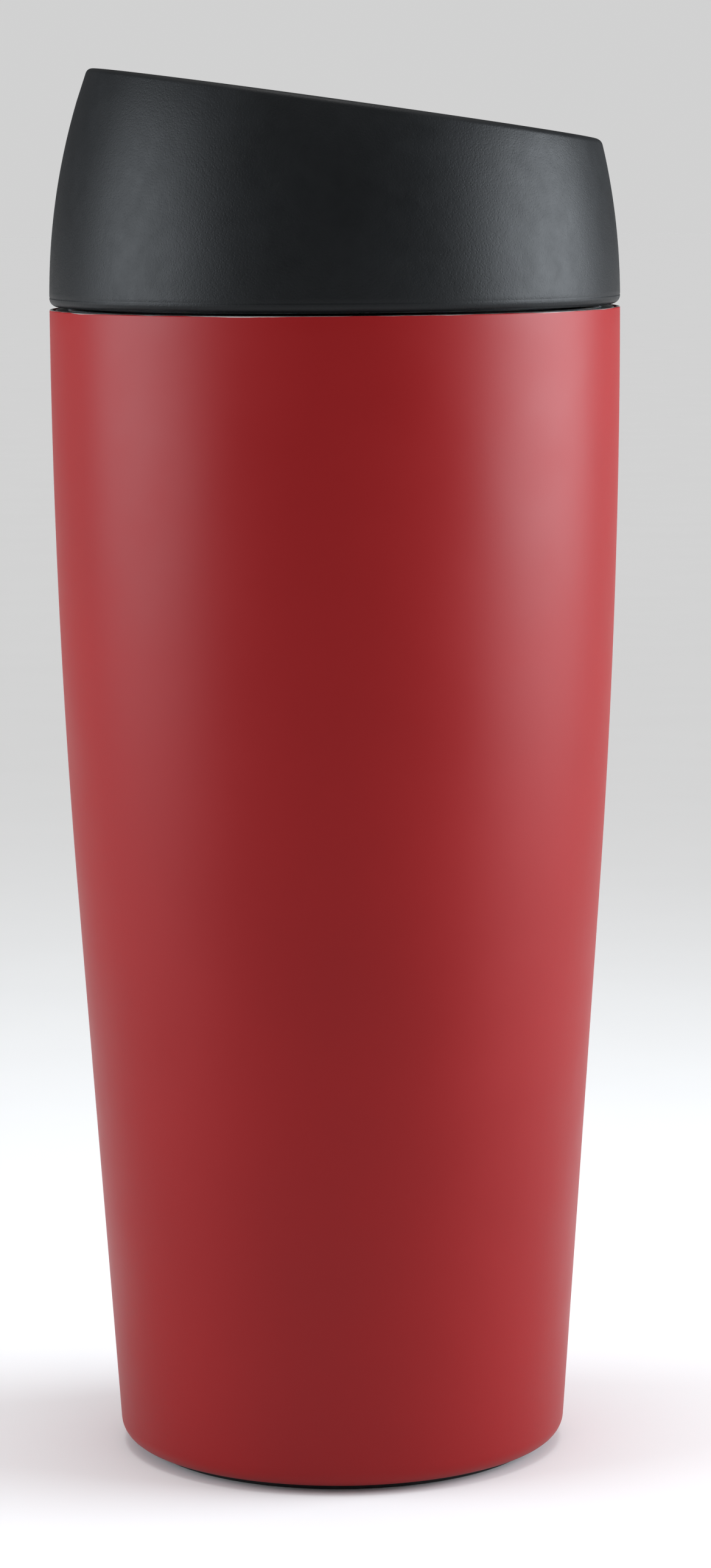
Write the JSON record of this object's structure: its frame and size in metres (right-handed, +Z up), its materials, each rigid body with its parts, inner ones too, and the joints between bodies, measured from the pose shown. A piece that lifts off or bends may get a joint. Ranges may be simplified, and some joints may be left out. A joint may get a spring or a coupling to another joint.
{
  "type": "insulated travel mug",
  "caption": "Tapered double-walled steel mug with a screw-in lid, a slanted drinking rim and a press-to-open valve.",
  "frame": {"origin": "centre of the foot's resting face", "axes": "+Z up along the mug's axis; the lid's high side faces -X and its low side faces +X"},
  "size_m": [0.08, 0.08, 0.1961],
  "materials": {
    "red_lacquer": "satin red lacquer",
    "steel": "brushed",
    "copper": "bright foil",
    "black_plastic": "fine leather grain",
    "grey_plastic": "smooth matte",
    "black_rubber": "matte",
    "silicone": "translucent matte"
  },
  "bodies": {
    "mug": {"outer_shell": "red_lacquer", "inner_liner": "steel", "radiation_shield": "copper", "base_plate": "steel", "vacuum_plug": "steel", "getter": "steel", "foot_ring": "black_rubber"},
    "lid_seal": {"lid_gasket": "silicone"},
    "lid": {"lid_casing": "black_plastic", "threaded_plug": "black_plastic", "throat_seal": "silicone", "valve_cage": "grey_plastic", "stem_seal": "silicone", "spring_washer": "steel", "sleeve_cap": "grey_plastic", "spring": "steel"},
    "button": {"button_cap": "black_plastic", "plunger": "grey_plastic", "valve_stem": "steel", "valve_disc": "grey_plastic", "valve_seal": "silicone", "valve_nut": "steel"},
    "latch": {"latch_ring": "grey_plastic"}
  },
  "joints": [
    {"name": "lid_lift", "type": "slide", "parent": "mug", "child": "lid_seal", "axis": [0, 0, 1], "range_m": [0, 0.0301]},
    {"name": "lid_turn", "type": "hinge", "parent": "lid_seal", "child": "lid", "pos_m": [0, 0, 0.1628], "axis": [0, 0, 1], "range_deg": [0, 720]},
    {"name": "button_press", "type": "slide", "parent": "lid", "child": "button", "axis": [0, 0, -1], "range_m": [0, 0.005], "stiffness_N_per_m": 600, "springref_m": -0.004, "deforming": ["spring"]},
    {"name": "latch_turn", "type": "hinge", "parent": "lid", "child": "latch", "pos_m": [0, 0, 0.1683], "axis": [0, 0, 1], "range_deg": [0, 30.1]}
  ],
  "couplings": [
    {"joint": "lid_lift", "follows": "lid_turn", "m_per_rad": 0.0023873},
    {"joint": "latch_turn", "follows": "button_press", "rad_per_m": 104.72}
  ]
}
